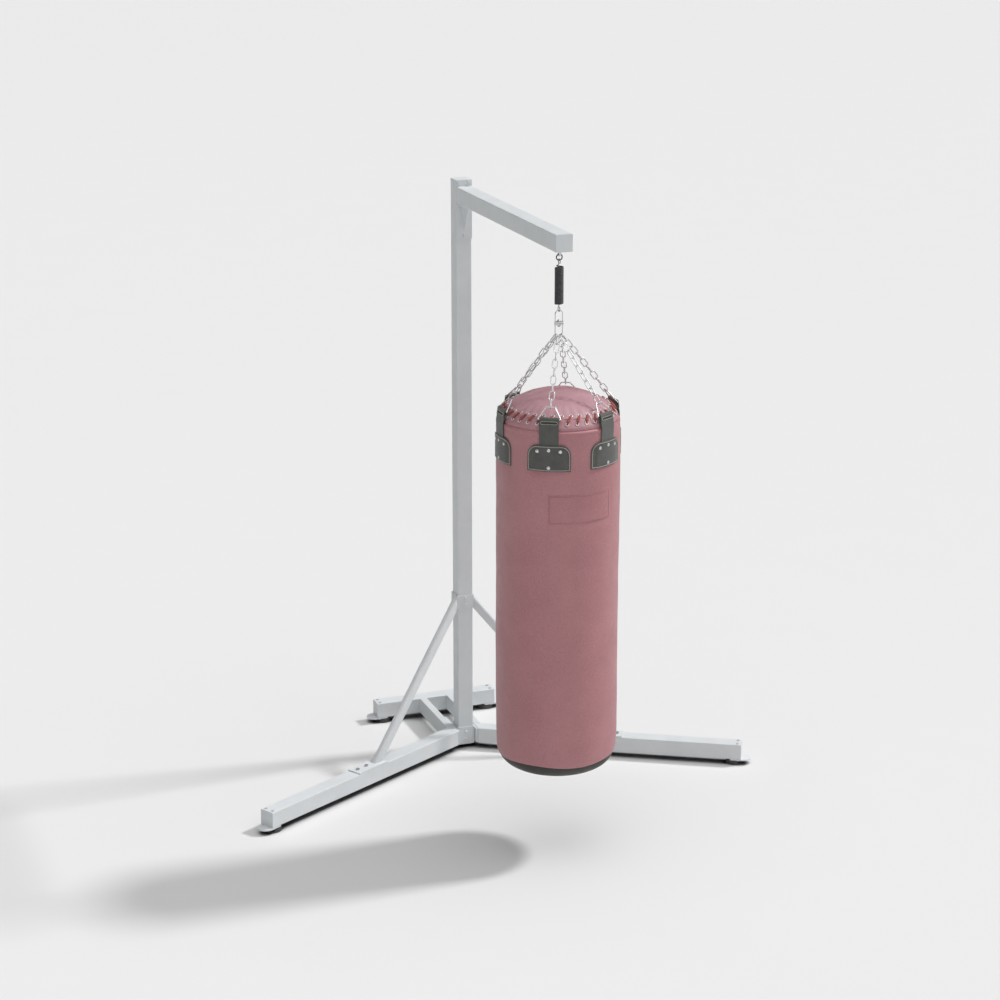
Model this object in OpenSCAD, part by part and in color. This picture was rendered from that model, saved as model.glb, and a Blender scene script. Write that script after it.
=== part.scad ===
// Heavy punching bag hanging by a spring, a swivel and six chains from a free-standing steel stand.
// The arm points along -Y. The column's axis and the hanging axis both lie in the plane X = 0.

/* [Stand] */
// Height of the top of the column above the floor
stand_h = 1861; // [1840:1:1900]
// Side of the square steel tube
tube = 50; // [50:1:52]
// Wall of the square steel tube
wall = 5; // [3:0.5:6]
// Outer corner radius of the tube
corner_r = 2.5; // [2:0.5:8]
// Reach of the arm's end from the column's axis
arm_reach = 860; // [840:1:900]
// Distance from the arm's top to the column's top
arm_drop = 20; // [20:1:24]
// Height of the plate that joins the arm to the column
plate_h = 182; // [170:1:200]
// Thickness of the arm plate
plate_t = 5; // [4:1:8]
// Forward length of the gusset under the arm
gusset_l = 42; // [30:1:60]
// Height of the gusset under the arm
gusset_h = 84; // [60:1:90]
// Width of the folded gusset at the arm
gusset_w = 32; // [20:1:40]

/* [Base] */
// Height of the underside of the legs above the floor
leg_z0 = 19.5; // [17:0.5:25]
// Length of a front leg from the column's axis
leg_len = 907; // [850:1:1000]
// Angle of a front leg from straight ahead
leg_angle = 60; // [58:1:62]
// Distance from the column's axis to the rear crossbar
crossbar_y = 295; // [280:1:340]
// Half length of the rear crossbar
crossbar_half = 207; // [190:1:240]
// Width of a rear tube
rear_tube_w = 24; // [20:1:25]
// Distance from the middle plane to a rear tube's middle
rear_tube_x = 47; // [47:1:50]
// Radius of a rubber foot
foot_r = 26; // [22:1:30]
// How far a foot plate reaches past the end of its tube
foot_plate_out = 30; // [25:1:35]

/* [Braces] */
// Height at which a brace's middle line meets the column's collar
brace_top_z = 500; // [490:1:510]
// Distance of a brace's lower end from the column's axis
brace_reach = 417; // [400:1:450]
// Width of a brace across the leg
brace_w = 22; // [18:1:25]
// Depth of a brace in the plane of the leg
brace_d = 30; // [20:1:32]
// Height of the collar on the column
collar_h = 43; // [40:1:60]

/* [Hanging parts] */
// Distance of the hanging axis from the column's axis
hang_reach = 822; // [815:1:830]
// Height of the hanging ring's centre
ring_z = 1770.5; // [1770:0.5:1771]
// Length of the closed coils of the spring
spring_len = 109; // [100:1:110]
// Outer radius of the spring
spring_r = 13; // [12:0.25:13.5]
// Height of the swivel's middle
swivel_z = 1582.5; // [1580:0.5:1585]
// Number of links in a chain
link_count = 9; // [9:1:9]
// Outer width of a chain link
link_w = 17; // [16:0.5:18]
// Wire diameter of a chain link
link_wire = 2.9; // [2.5:0.1:2.9]

/* [Bag] */
// Radius of the bag
bag_r = 175; // [170:1:180]
// Height of the bag's base above the floor
bag_z0 = 268; // [255:1:290]
// Height of the rim where the side meets the top
rim_z = 1314; // [1310:1:1318]
// Height of the crest of the laced cover
crest_z = 1394; // [1385:1:1400]
// Radius of the ring of eyelets in the cover
eyelet_in_r = 142.5; // [140:0.5:144]
// Radius of the ring of eyelets in the flap
eyelet_out_r = 163; // [162:0.5:165]
// Number of eyelet pairs round the top
eyelet_count = 36; // [30:6:36]
// Width of a hanging strap
strap_w = 55; // [50:1:58]
// Thickness of the felt liner
liner_t = 22; // [15:1:30]

/* [Hidden] */
$fn = 48;

eps = 0.05;
tube_half = tube / 2;
leg_z1 = leg_z0 + tube;
cap_t = 3;

// strap patches: they reach furthest forward, so they set the middle of the whole object
patch_r0 = bag_r + 2.6;
patch_r1 = bag_r + 5;
patch_w = 127;
patch_z0 = rim_z - 114;
patch_z1 = rim_z - 39;
patch_half_angle = patch_w / patch_r1 * 90 / PI;
strap_angles = [for (i = [0 : 5]) 30 + 60 * i];
y_front = hang_reach + patch_r1 * cos(strap_angles[0] - patch_half_angle);
y_back = crossbar_y + tube_half;
column_y = (y_front - y_back) / 2;
hang_y = column_y - hang_reach;

arm_z1 = stand_h - arm_drop;
arm_z0 = arm_z1 - tube;
arm_y0 = -tube_half - plate_t;
plate_z0 = stand_h - plate_h;
bolt_r = 4;
bolt_hole_r = 4.3;
head_r = 6;
head_h = 4.5;
nut_r = 7.5;
nut_h = 6.5;
plate_bolts = [[-16, stand_h - 8], [16, stand_h - 8], [0, plate_z0 + 11]];

// collar, braces and their plates on the legs
collar_t = 3;
collar_half = tube_half + 0.5 + collar_t;
collar_z0 = brace_top_z - 20;
collar_z1 = collar_z0 + collar_h;
collar_bolt_z = [collar_z0 + 11, collar_z0 + 34];
brace_plate_t = 4;
brace_plate_x0 = brace_reach - 23;
brace_corner_r = 8;
brace_plate_l = 129;
brace_bolt_x = [brace_plate_x0 + 72, brace_plate_x0 + 111];
brace_x0 = collar_half / sin(leg_angle);
brace_z0 = leg_z1 + brace_plate_t;
brace_tilt = atan2(brace_reach - brace_x0, brace_top_z - brace_z0);
brace_l = norm([brace_reach - brace_x0, brace_top_z - brace_z0]);

// base bracket and feet
bracket_z0 = leg_z0 - 6.5;
bracket_z1 = leg_z1 + 3;
base_bolt_z = [bracket_z0 + 17, bracket_z0 + 41];
hub_x = rear_tube_x - rear_tube_w / 2;
hub_plate_y0 = -45;
hub_plate_l = 132;
foot_bolt_w = 14;
foot_bolt_in = 12;
foot_head_r = 4.8;
foot_plate_t = 4;
foot_plate_l = 34;

// hanging hardware, from the lug down
ring_wire_r = 1.7;
ring_r = 8.5;
lug_t = 5;
lug_hole_r = 2.5;
lug_hole_z = ring_z + sqrt(pow(ring_r - ring_wire_r, 2) - pow(lug_t / 2, 2)) + lug_hole_r - eps;
lug_r = 6.5;
lug_top_w = 18;
hook_wire_r = 2;
hook_r = 7;
hook_top_z = ring_z - ring_r + ring_wire_r + hook_wire_r + eps - hook_r;
spring_z1 = ring_z - 25.5;
spring_z0 = spring_z1 - spring_len;
spring_wire_r = 2;
loop_wire_r = 1.65;
loop_r = 11;
bar_l = 26;
bar_w = 10;
bar_t = 4.5;
washer_t = 1;
bar_gap = 0.1;
upper_bar_z = swivel_z + washer_t / 2 + bar_gap;
lower_bar_z = swivel_z - washer_t / 2 - bar_gap - bar_t;
upper_arc_z = swivel_z + 26.5;
lower_arc_z = swivel_z - 27.5;
hook_low_z = upper_arc_z + loop_r - loop_wire_r - hook_wire_r - eps + hook_r;
pin_r = 3.5;
pin_clear = 0.06;
dome_r = 5.5;

// chains and the rings that hold the straps
strap_ring_wire_r = 1.75;
strap_ring_h = 37;
strap_ring_top = 25;
strap_ring_base = strap_w + 9;
ball_extra = 0.3;
ring_bar_r = bag_r - 7;
ring_bar_z = rim_z + 34;
loop_angles = [15, 60, 36, -36, -60, -15];
link_gap = 0.3;
strap_t = 2.2;
strap_r0 = bag_r + 0.2;
fold_r = strap_ring_wire_r + 0.4;

// rivet places on a patch: angle from its middle, and height
rivet_places = [[-10.5, patch_z0 + 58], [0, patch_z0 + 61.5], [10.5, patch_z0 + 58], [0, patch_z0 + 11]];
rivet_r = 2;

// bag
shell_t = 2.8;
liner_r1 = bag_r - shell_t - 0.2;
liner_r0 = liner_r1 - liner_t;
cover_r = eyelet_in_r + 12;
cover_t = 3;
flap_in_r = cover_r + 0.6;
flap_in_z = rim_z + 24;
base_lip_z = bag_z0 + 41;
base_r = bag_r - 4.5;
base_cup_r = base_r - 2.5;
base_t = 3;
base_round = 40;
fill_gap = 1.5;
fill_round = base_round - liner_t + base_t;
eyelet_in_z = rim_z + 37.5;
eyelet_out_z = rim_z + 16.5;
eyelet_r = 4.4;
eyelet_wire_r = 1.2;
cover_rise = crest_z - eyelet_in_z + 8;
cover_ball = (cover_r * cover_r + cover_rise * cover_rise) / (2 * cover_rise);

// ---- helpers ----

// a vector's length-one version
function unit(v) = v / norm(v);

// turns the local X, Y and Z axes onto three given directions and moves to a point
module basis(x, y, z, p) {
    multmatrix([[x[0], y[0], z[0], p[0]], [x[1], y[1], z[1], p[1]], [x[2], y[2], z[2], p[2]], [0, 0, 0, 1]])
        children();
}

module rounded_rect(w, h, r) {
    square([w - 2 * r, h], center = true);
    square([w, h - 2 * r], center = true);
    for (sx = [-1, 1], sy = [-1, 1])
        translate([sx * (w / 2 - r), sy * (h / 2 - r)])
            circle(r);
}

// a rectangular tube that rises along +Z
module box_tube(w, h, t, l, r) {
    difference() {
        linear_extrude(l)
            rounded_rect(w, h, r);
        translate([0, 0, -1])
            linear_extrude(l + 2)
                rounded_rect(w - 2 * t, h - 2 * t, max(r - t, 1));
    }
}

module main_tube(l) {
    box_tube(tube, tube, wall, l, corner_r);
}

// puts children in the frame of the column's axis
module at_column() {
    translate([0, column_y, 0])
        children();
}

// puts children in the frame of the hanging axis
module at_hang() {
    translate([0, hang_y, 0])
        children();
}

// local +X runs out along a front leg: side 1 is right, side -1 is left
module along_leg(side) {
    at_column()
        rotate([0, 0, side > 0 ? leg_angle - 90 : -90 - leg_angle])
            children();
}

// a tube lying along +X from x0 to x1 on the leg level
module lying_tube(x0, x1) {
    translate([x0, 0, leg_z0 + tube_half])
        rotate([90, 0, 90])
            main_tube(x1 - x0);
}

// a bolt whose head faces +Z, seated at the origin, with its shank going down
module bolt(l) {
    cylinder(r = head_r, h = head_h, $fn = 6);
    translate([0, 0, -l])
        cylinder(r = bolt_r, h = l + eps);
}

// a bolt with a nut, for a stack of thickness t
module bolt_and_nut(t) {
    bolt(t + nut_h + 3);
    translate([0, 0, -t - nut_h])
        cylinder(r = nut_r, h = nut_h, $fn = 6);
}

// a torus in the XY plane
module torus(r, wire) {
    rotate_extrude()
        translate([r, 0])
            circle(wire);
}

// a ring standing in the plane Y = 0
module ring_xz(r, wire) {
    rotate([90, 0, 0])
        torus(r, wire);
}

// ---- stand ----

module column() {
    color("gainsboro") at_column() difference() {
        translate([0, 0, leg_z0])
            main_tube(stand_h - cap_t - leg_z0);
        for (b = plate_bolts)
            translate([b[0], -tube, b[1]])
                rotate([-90, 0, 0])
                    cylinder(r = bolt_hole_r, h = 2 * tube);
        for (z = collar_bolt_z)
            translate([0, -tube, z])
                rotate([-90, 0, 0])
                    cylinder(r = bolt_hole_r, h = 2 * tube);
        for (z = base_bolt_z)
            translate([0, -tube, z])
                rotate([-90, 0, 0])
                    cylinder(r = bolt_hole_r, h = 2 * tube);
    }
}

module column_cap() {
    color("gainsboro") at_column()
        translate([0, 0, stand_h - cap_t])
            linear_extrude(cap_t)
                rounded_rect(tube, tube, corner_r);
}

module arm_plate() {
    color("gainsboro") at_column() difference() {
        translate([-tube_half, arm_y0, plate_z0])
            cube([tube, plate_t, plate_h]);
        for (b = plate_bolts)
            translate([b[0], arm_y0 - 1, b[1]])
                rotate([-90, 0, 0])
                    cylinder(r = bolt_hole_r, h = plate_t + 2);
    }
}

module arm_tube() {
    color("gainsboro") at_column()
        translate([0, arm_y0, arm_z0 + tube_half])
            rotate([90, 0, 0])
                main_tube(arm_reach + arm_y0 - cap_t);
}

module arm_end_cap() {
    color("gainsboro") at_column()
        translate([0, -arm_reach + cap_t, arm_z0 + tube_half])
            rotate([90, 0, 0])
                linear_extrude(cap_t)
                    rounded_rect(tube, tube, corner_r);
}

// folded gusset: widest at the arm, running to a point on the plate and to one under the arm
module arm_gusset() {
    color("gainsboro") at_column()
        polyhedron(points = [[-gusset_w / 2, arm_y0, arm_z0], [gusset_w / 2, arm_y0, arm_z0],
                             [0, arm_y0 - gusset_l, arm_z0], [0, arm_y0, arm_z0 - gusset_h]],
                   faces = [[0, 1, 2], [1, 0, 3], [0, 2, 3], [2, 1, 3]]);
}

module arm_plate_bolts() {
    color("silver") at_column()
        for (b = plate_bolts)
            translate([b[0], arm_y0, b[1]])
                rotate([90, 0, 0])
                    bolt_and_nut(tube + plate_t);
}

// ear with a hole for the hanging ring
module hanger_lug() {
    color("white") at_hang() difference() {
        union() {
            translate([-lug_t / 2, 0, lug_hole_z])
                rotate([0, 90, 0])
                    cylinder(r = lug_r, h = lug_t);
            translate([-lug_t / 2, 0, 0])
                rotate([90, 0, 90])
                    linear_extrude(lug_t)
                        polygon([[-lug_r, lug_hole_z], [lug_r, lug_hole_z],
                                 [lug_top_w / 2, arm_z0], [-lug_top_w / 2, arm_z0]]);
        }
        translate([-lug_t, 0, lug_hole_z])
            rotate([0, 90, 0])
                cylinder(r = lug_hole_r, h = 2 * lug_t);
    }
}

// ---- collar and braces ----

module u_plate(z0, z1) {
    difference() {
        translate([0, 0, z0])
            linear_extrude(z1 - z0)
                rounded_rect(2 * collar_half, 2 * collar_half, corner_r);
        translate([-tube_half - 0.5, -tube_half - 0.5, z0 - 1])
            cube([tube + 1, tube + 1 + 2 * collar_half, z1 - z0 + 2]);
        translate([-tube, collar_half - collar_t, z0 - 1])
            cube([2 * tube, 2 * tube, z1 - z0 + 2]);
    }
}

module brace_collar() {
    color("gainsboro") at_column() difference() {
        u_plate(collar_z0, collar_z1);
        for (z = collar_bolt_z)
            translate([0, -tube, z])
                rotate([-90, 0, 0])
                    cylinder(r = bolt_hole_r, h = 2 * tube);
    }
}

module collar_back_plate() {
    color("gainsboro") at_column() difference() {
        translate([-collar_half, collar_half - collar_t, collar_z0])
            cube([2 * collar_half, collar_t, collar_h]);
        for (z = collar_bolt_z)
            translate([0, 0, z])
                rotate([-90, 0, 0])
                    cylinder(r = bolt_hole_r, h = 2 * tube);
    }
}

module collar_bolts() {
    color("silver") at_column()
        for (z = collar_bolt_z)
            translate([0, -collar_half, z])
                rotate([90, 0, 0])
                    bolt_and_nut(2 * collar_half);
}

// a slanted tube from the collar's side down to its plate on the leg
module brace(side) {
    difference() {
        along_leg(side)
            translate([brace_reach, 0, brace_z0])
                rotate([0, -brace_tilt, 0])
                    translate([0, 0, -40])
                        box_tube(brace_d, brace_w, 2, brace_l + 80, brace_corner_r);
        along_leg(side)
            translate([0, -tube, brace_z0 - 200])
                cube([2 * brace_reach, 2 * tube, 200]);
        at_column()
            translate([side > 0 ? collar_half - 200 : -collar_half, -200, leg_z0])
                cube([200, 400, stand_h]);
    }
}

module brace_left() {
    color("gainsboro") brace(-1);
}

module brace_right() {
    color("gainsboro") brace(1);
}

module brace_plate(side) {
    along_leg(side) difference() {
        translate([brace_plate_x0, -tube_half, leg_z1])
            cube([brace_plate_l, tube, brace_plate_t]);
        for (x = brace_bolt_x)
            translate([x, 0, leg_z1 - 1])
                cylinder(r = bolt_hole_r, h = brace_plate_t + 2);
    }
}

module brace_plate_left() {
    color("white") brace_plate(-1);
}

module brace_plate_right() {
    color("white") brace_plate(1);
}

module brace_plate_bolts() {
    color("silver")
        for (side = [-1, 1])
            along_leg(side)
                for (x = brace_bolt_x)
                    translate([x, 0, leg_z1 + brace_plate_t])
                        bolt_and_nut(brace_plate_t + wall);
}

// ---- base ----

module base_bracket() {
    color("gainsboro") at_column() difference() {
        union() {
            u_plate(bracket_z0, bracket_z1);
            translate([0, 0, bracket_z0])
                linear_extrude(leg_z0 - bracket_z0)
                    rounded_rect(2 * collar_half - 1, 2 * collar_half - 1, corner_r);
        }
        for (z = base_bolt_z)
            translate([0, -tube, z])
                rotate([-90, 0, 0])
                    cylinder(r = bolt_hole_r, h = 2 * tube);
    }
}

module base_bracket_bolts() {
    color("silver") at_column()
        for (z = base_bolt_z)
            translate([0, -collar_half, z])
                rotate([90, 0, 0])
                    bolt_and_nut(collar_half + tube_half);
}

// welded spacers between the bracket's sides and the legs with their rear tubes
module hub_plates() {
    color("gainsboro") at_column()
        for (side = [-1, 1])
            translate([side > 0 ? collar_half : -hub_x, hub_plate_y0, leg_z0 + 2])
                cube([hub_x - collar_half, hub_plate_l, tube - 4]);
}

module leg(side) {
    difference() {
        along_leg(side) difference() {
            lying_tube(0, leg_len - cap_t);
            for (x = brace_bolt_x)
                translate([x, 0, leg_z1 - wall - 1])
                    cylinder(r = bolt_hole_r, h = wall + 2);
            for (y = [-foot_bolt_w, foot_bolt_w])
                translate([leg_len - foot_bolt_in, y, leg_z0 - 1])
                    cylinder(r = bolt_hole_r, h = tube + 2);
        }
        at_column()
            translate([side > 0 ? hub_x - 200 : -hub_x, -200, 0])
                cube([200, 400, 200]);
    }
}

module leg_left() {
    color("gainsboro") leg(-1);
}

module leg_right() {
    color("gainsboro") leg(1);
}

// a rear tube whose front end is mitred to the back face of the right leg
module rear_tube() {
    difference() {
        at_column()
            translate([rear_tube_x, -tube, leg_z0 + tube_half])
                rotate([-90, 0, 0])
                    box_tube(rear_tube_w, tube, 3, crossbar_y - tube_half + tube, corner_r);
        along_leg(1)
            translate([-tube, tube_half - 200, 0])
                cube([4 * tube, 200, 200]);
    }
}

module rear_tube_left() {
    color("gainsboro")
        mirror([1, 0, 0])
            rear_tube();
}

module rear_tube_right() {
    color("gainsboro") rear_tube();
}

module rear_crossbar() {
    color("gainsboro") at_column() difference() {
        translate([0, crossbar_y, 0])
            lying_tube(-crossbar_half + cap_t, crossbar_half - cap_t);
        for (side = [-1, 1], y = [-foot_bolt_w, foot_bolt_w])
            translate([side * (crossbar_half - foot_bolt_in), crossbar_y + y, leg_z0 - 1])
                cylinder(r = bolt_hole_r, h = tube + 2);
    }
}

// local origin at a tube's end, local +X pointing out of it, one for each foot
module at_each_foot() {
    for (side = [-1, 1])
        along_leg(side)
            translate([leg_len, 0, 0])
                children();
    for (side = [-1, 1])
        at_column()
            translate([side * crossbar_half, crossbar_y, 0])
                rotate([0, 0, side > 0 ? 0 : 180])
                    children();
}

module tube_end_caps() {
    color("gainsboro")
        at_each_foot()
            translate([-cap_t, 0, leg_z0 + tube_half])
                rotate([90, 0, 90])
                    linear_extrude(cap_t)
                        rounded_rect(tube, tube, corner_r);
}

module foot_plates() {
    color("white")
        at_each_foot()
            translate([0, 0, leg_z0 - foot_plate_t])
                difference() {
                    linear_extrude(foot_plate_t) {
                        translate([foot_plate_out - tube_half, 0])
                            circle(tube_half);
                        translate([-foot_plate_l, -tube_half])
                            square([foot_plate_l + foot_plate_out - tube_half, tube]);
                    }
                    for (y = [-foot_bolt_w, foot_bolt_w])
                        translate([-foot_bolt_in, y, -1])
                            cylinder(r = bolt_hole_r, h = foot_plate_t + 2);
                }
}

module rubber_feet() {
    color("dimgray")
        at_each_foot()
            translate([-foot_r + 2, 0, 0])
                difference() {
                    union() {
                        cylinder(r = foot_r, h = 9);
                        translate([0, 0, 9])
                            cylinder(r1 = foot_r, r2 = foot_r - 2, h = leg_z0 - foot_plate_t - 9);
                    }
                    for (y = [-foot_bolt_w, foot_bolt_w])
                        translate([foot_r - 2 - foot_bolt_in, y, 5])
                            cylinder(r = nut_r + 0.5, h = leg_z0);
                }
}

// low-headed bolts that clamp the foot plate to the tube
module foot_bolts() {
    color("silver")
        at_each_foot()
            for (y = [-foot_bolt_w, foot_bolt_w])
                translate([-foot_bolt_in, y, leg_z1]) {
                    cylinder(r = foot_head_r, h = 2);
                    translate([0, 0, -tube - foot_plate_t - 6])
                        cylinder(r = bolt_r, h = tube + foot_plate_t + 6 + eps);
                    translate([0, 0, -tube - foot_plate_t - 5])
                        cylinder(r = nut_r - 0.5, h = 5, $fn = 6);
                }
}

// ---- hanging hardware ----

module hanging_ring() {
    color("dimgray") at_hang()
        translate([0, 0, ring_z])
            ring_xz(ring_r, ring_wire_r);
}

// a hook's eye in the plane X = 0, with a cross wire that lies on the spring's end coil
module spring_eye(eye_z, end_z, dir) {
    translate([0, 0, eye_z])
        rotate([0, 90, 0])
            torus(hook_r, hook_wire_r);
    translate([0, 0, dir > 0 ? end_z + hook_wire_r : eye_z + hook_r])
        cylinder(r = hook_wire_r, h = abs(eye_z - end_z) - hook_r - hook_wire_r);
    translate([0, 0, end_z + dir * hook_wire_r])
        rotate([-90, 0, 0])
            cylinder(r = hook_wire_r, h = spring_r - 1);
    translate([0, 0, end_z + dir * hook_wire_r])
        sphere(hook_wire_r);
}

module spring_top_hook() {
    color("dimgray") at_hang()
        spring_eye(hook_top_z, spring_z1, 1);
}

module spring_bottom_hook() {
    color("dimgray") at_hang()
        spring_eye(hook_low_z, spring_z0, -1);
}

// the closed coils, as the tube that they fill
module spring_coil() {
    color("dimgray") at_hang()
        translate([0, 0, spring_z0])
            difference() {
                cylinder(r = spring_r, h = spring_len);
                translate([0, 0, -1])
                    cylinder(r = spring_r - 2 * spring_wire_r, h = spring_len + 2);
            }
}

// a rod bent into a half round, ending in a flat bar with a hole; it opens towards -Z
module swivel_loop(rod_l) {
    rotate([90, 0, 0])
        rotate_extrude(angle = 180)
            translate([loop_r, 0])
                circle(loop_wire_r);
    for (sx = [-1, 1])
        translate([sx * loop_r, 0, -rod_l])
            cylinder(r = loop_wire_r, h = rod_l);
}

module swivel_bar(hole_r) {
    difference() {
        intersection() {
            translate([-bar_l / 2, -bar_w / 2, 0])
                cube([bar_l, bar_w, bar_t]);
            translate([0, 0, -1])
                cylinder(r = bar_l / 2, h = bar_t + 2);
        }
        translate([0, 0, -1])
            cylinder(r = hole_r, h = bar_t + 2);
    }
}

module swivel_upper_loop() {
    color("silver") at_hang() {
        translate([0, 0, upper_arc_z])
            swivel_loop(upper_arc_z - upper_bar_z - bar_t / 2);
        translate([0, 0, upper_bar_z])
            swivel_bar(pin_r + pin_clear);
    }
}

module swivel_lower_loop() {
    color("silver") at_hang() {
        translate([0, 0, lower_arc_z])
            mirror([0, 0, 1])
                swivel_loop(lower_bar_z + bar_t / 2 - lower_arc_z);
        translate([0, 0, lower_bar_z])
            swivel_bar(pin_r);
    }
}

module swivel_bolt() {
    color("silver") at_hang() {
        translate([0, 0, lower_bar_z - 2])
            cylinder(r = pin_r, h = upper_bar_z + bar_t + 2 - lower_bar_z + 2);
        translate([0, 0, upper_bar_z + bar_t + bar_gap])
            rotate_extrude()
                intersection() {
                    circle(dome_r);
                    square(dome_r);
                }
        translate([0, 0, lower_bar_z])
            mirror([0, 0, 1])
                rotate_extrude()
                    intersection() {
                        circle(dome_r);
                        square(dome_r);
                    }
    }
}

module swivel_washer() {
    color("silver") at_hang()
        translate([0, 0, swivel_z - washer_t / 2])
            difference() {
                cylinder(r = 5, h = washer_t);
                translate([0, 0, -1])
                    cylinder(r = pin_r, h = washer_t + 2);
            }
}

// ---- chains ----

// outward and sideways directions at an angle round the bag, 0 being straight ahead and 90 the right
function out_dir(a) = [sin(a), -cos(a), 0];
function side_dir(a) = [cos(a), sin(a), 0];

// where a chain hangs on the swivel's loop, and the loop's wire direction there
function chain_top(i) = [loop_r * sin(loop_angles[i]), 0, lower_arc_z - loop_r * cos(loop_angles[i])];
function loop_tangent(i) = [cos(loop_angles[i]), 0, sin(loop_angles[i])];

// the strap ring's base, its slant and its top bar
function ring_base(i) = ring_bar_r * out_dir(strap_angles[i]) + [0, 0, ring_bar_z];
function ring_slant(i) =
    let (u = chain_top(i) - ring_base(i), s = side_dir(strap_angles[i]))
    unit(u - (u * s) * s);
function ring_top(i) = ring_base(i) + strap_ring_h * ring_slant(i);

// the part of v that is square to d, at length one
function square_to(v, d) = unit(v - (v * d) * d);

module chain_link(pitch) {
    link_r = (link_w - link_wire) / 2;
    straight = pitch + link_wire - 2 * link_r;
    for (turn = [0, 180])
        rotate([0, 0, turn]) {
            translate([straight / 2, 0, 0])
                rotate([0, 0, -90])
                    rotate_extrude(angle = 180)
                        translate([link_r, 0])
                            circle(link_wire / 2, $fn = 24);
            translate([-straight / 2, link_r, 0])
                rotate([0, 90, 0])
                    cylinder(r = link_wire / 2, h = straight, $fn = 24);
        }
}

// links from the swivel's loop to a strap ring; the first links take up the twist between the two
module chain(i) {
    p = chain_top(i);
    q = ring_top(i);
    d = unit(q - p);
    n0 = square_to(loop_tangent(i), d);
    m0 = cross(d, n0);
    n1 = square_to(side_dir(strap_angles[i]), d);
    pitch = (norm(q - p) + loop_wire_r + strap_ring_wire_r + 2 * eps) / link_count;
    last = atan2(n1 * m0, n1 * n0);
    steps = 90 * (link_count - 1);
    twist = ((last - steps) % 180 + 270) % 180 - 90;
    at_hang()
        for (k = [0 : link_count - 1]) {
            a = 90 * k + twist * min(k, 3) / 3;
            n = n0 * cos(a) + m0 * sin(a);
            basis(d, cross(n, d), n, p + d * (pitch * (k + 0.5) - loop_wire_r - eps))
                chain_link(pitch + link_gap);
        }
}

module chain_1() {
    color("silver") chain(0);
}

module chain_2() {
    color("silver") chain(1);
}

module chain_3() {
    color("silver") chain(2);
}

module chain_4() {
    color("silver") chain(3);
}

module chain_5() {
    color("silver") chain(4);
}

module chain_6() {
    color("silver") chain(5);
}

// a round bar between two points of a flat frame, with a slightly thicker ball at its start, whose
// poles are turned away from the bars
module bar_between(a, b, r) {
    v = b - a;
    translate([a[0], a[1], 0])
        rotate([0, 90, atan2(v[1], v[0])])
            cylinder(r = r, h = norm(v));
    translate([a[0], a[1], 0])
        rotate([90, 20, 0])
            sphere(r + ball_extra);
}

// trapezoid wire rings that join the straps to the chains
module strap_rings() {
    corners = [[-strap_ring_base / 2, 0], [strap_ring_base / 2, 0],
               [strap_ring_top / 2, strap_ring_h], [-strap_ring_top / 2, strap_ring_h]];
    color("silver") at_hang()
        for (i = [0 : 5]) {
            x = side_dir(strap_angles[i]);
            y = ring_slant(i);
            basis(x, y, cross(x, y), ring_base(i))
                for (k = [0 : 3])
                    bar_between(corners[k], corners[(k + 1) % 4], strap_ring_wire_r);
        }
}

// ---- straps ----

// a strap that lies on the bag's side, stands above the rim and folds round its ring's bar
module strap(i) {
    half_angle = strap_w / bag_r * 90 / PI;
    at_hang() {
        rotate([0, 0, strap_angles[i] - 90 - half_angle])
            translate([0, 0, patch_z0 + 12])
                rotate_extrude(angle = 2 * half_angle, $fn = 96)
                    translate([strap_r0, 0])
                        square([strap_t, rim_z - patch_z0 - 12]);
        rotate([0, 0, strap_angles[i] - 90])
            translate([0, strap_w / 2, 0])
                rotate([90, 0, 0])
                    linear_extrude(strap_w)
                        difference() {
                            union() {
                                polygon([[strap_r0 + 0.2, rim_z - 3], [strap_r0 + strap_t, rim_z - 3],
                                         [strap_r0 + strap_t, rim_z + 2],
                                         [ring_bar_r + fold_r + strap_t, ring_bar_z],
                                         [ring_bar_r - fold_r - strap_t, ring_bar_z],
                                         [ring_bar_r - fold_r - strap_t + 1, ring_bar_z - 12],
                                         [strap_r0 + 0.2, rim_z + 0.8]]);
                                translate([ring_bar_r, ring_bar_z])
                                    circle(fold_r + strap_t);
                            }
                            translate([ring_bar_r, ring_bar_z])
                                circle(fold_r);
                        }
    }
}

module strap_1() {
    color("darkslategray") strap(0);
}

module strap_2() {
    color("darkslategray") strap(1);
}

module strap_3() {
    color("darkslategray") strap(2);
}

module strap_4() {
    color("darkslategray") strap(3);
}

module strap_5() {
    color("darkslategray") strap(4);
}

module strap_6() {
    color("darkslategray") strap(5);
}

module at_each_rivet() {
    at_hang()
        for (a = strap_angles, p = rivet_places)
            rotate([0, 0, a + p[0] - 90])
                translate([patch_r1, 0, p[1]])
                    rotate([0, 90, 0])
                        children();
}

// round-topped patches that rivet the straps to the bag
module strap_patches() {
    color("darkslategray") difference() {
        at_hang()
            for (a = strap_angles)
                intersection() {
                    rotate([0, 0, a - 90 - patch_half_angle])
                        translate([0, 0, patch_z0])
                            rotate_extrude(angle = 2 * patch_half_angle, $fn = 96)
                                translate([patch_r0, 0])
                                    square([patch_r1 - patch_r0, patch_z1 - patch_z0]);
                    rotate([0, 0, a - 90])
                        translate([0, 0, patch_z0])
                            rotate([90, 0, 90])
                                linear_extrude(2 * bag_r)
                                    patch_outline();
                }
        at_each_rivet()
            translate([0, 0, -20])
                cylinder(r = rivet_r + 0.05, h = 30, $fn = 24);
    }
}

// square below and round at its two upper corners
module patch_outline() {
    corner = 30;
    w = patch_w;
    h = patch_z1 - patch_z0;
    arc = [for (a = [0 : 15 : 90]) [w / 2 - corner * (1 - cos(a)), h - corner * (1 - sin(a))]];
    mirrored = [for (k = [len(arc) - 1 : -1 : 0]) [-arc[k][0], arc[k][1]]];
    polygon(concat([[-w / 2, 0], [w / 2, 0]], arc, mirrored));
}

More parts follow.
